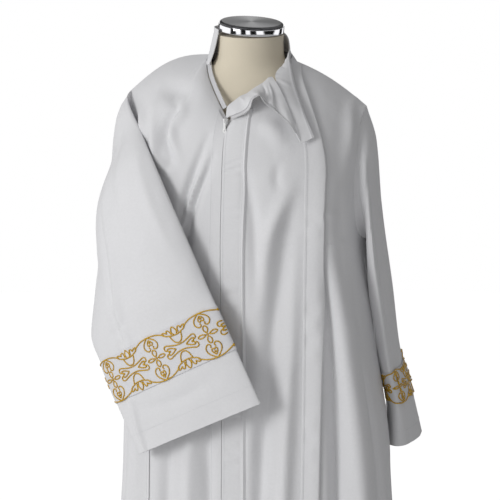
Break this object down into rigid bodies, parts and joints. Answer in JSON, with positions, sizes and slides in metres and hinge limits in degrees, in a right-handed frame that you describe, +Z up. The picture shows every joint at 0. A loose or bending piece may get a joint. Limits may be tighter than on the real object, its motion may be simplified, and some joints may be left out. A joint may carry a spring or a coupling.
{
  "type": "alb robe on a dress form",
  "caption": "Long white front-zip alb with wide sleeves and embroidered cuff bands, worn by a limbless dress form on a round stand.",
  "frame": {"origin": "centre of the stand's round underside, on the floor", "axes": "+Z up, the robe faces -Y, the wearer's left is +X"},
  "size_m": [0.6147, 0.4327, 1.6263],
  "materials": {
    "alb_cloth": "matte white polyester and cotton plain weave",
    "embroidered_band": "white cloth with gold cord embroidery",
    "zip_tape": "white woven tape",
    "zip_metal": "white coated metal",
    "form_cover": "beige jersey cover",
    "chrome": "polished",
    "brushed_steel": "radially brushed",
    "painted_steel": "satin black paint"
  },
  "bodies": {
    "robe_and_stand": {"front_right": "alb_cloth", "front_left": "alb_cloth", "back": "alb_cloth", "sleeve_right": "alb_cloth", "sleeve_left": "alb_cloth", "band_right": "embroidered_band", "band_left": "embroidered_band", "collar": "alb_cloth", "facing_left": "alb_cloth", "placket_right": "alb_cloth", "placket_left": "alb_cloth", "pleat_right": "alb_cloth", "pleat_left": "alb_cloth", "zip_tape_right": "zip_tape", "zip_tape_left": "zip_tape", "zip_slider": "zip_metal", "form_torso": "form_cover", "neck_cap_band": "chrome", "neck_cap_top": "brushed_steel", "stand_pole": "chrome", "stand_hub": "painted_steel", "stand_base": "painted_steel"},
    "pull_tab": {"zip_pull_tab": "zip_metal"}
  },
  "joints": [
    {"name": "pull_tab_hinge", "type": "hinge", "parent": "robe_and_stand", "child": "pull_tab", "pos_m": [-0.001, -0.1223, 1.4645], "axis": [-1, 0, 0], "range_deg": [0, 160]}
  ]
}
